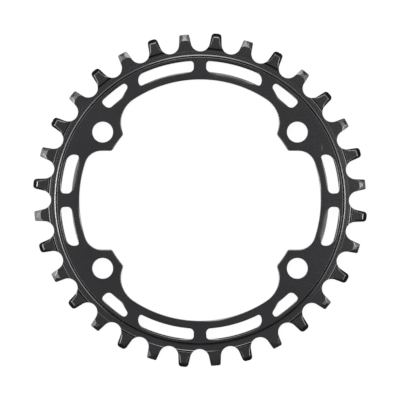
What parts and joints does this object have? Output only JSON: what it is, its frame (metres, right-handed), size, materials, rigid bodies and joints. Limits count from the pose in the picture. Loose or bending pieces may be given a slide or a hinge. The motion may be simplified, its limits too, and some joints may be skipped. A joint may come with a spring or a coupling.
{
  "type": "bicycle chainring",
  "caption": "Flat chainring with wide and narrow teeth in turn, a stepped rim, lightening slots and bolt tabs reaching into a large open centre, to drive a bicycle chain.",
  "frame": {"origin": "centre of the bolt circle, on the back face, which lies on the ground plane", "axes": "+Z along the ring's axis, from the back face to the front face; +X along the long side of the bolt pattern; +Y along its short side"},
  "size_m": [0.1348, 0.1348, 0.004],
  "materials": {
    "black_anodised": "black anodised, satin"
  },
  "bodies": {
    "root": {"chainring": "black_anodised"}
  },
  "joints": []
}
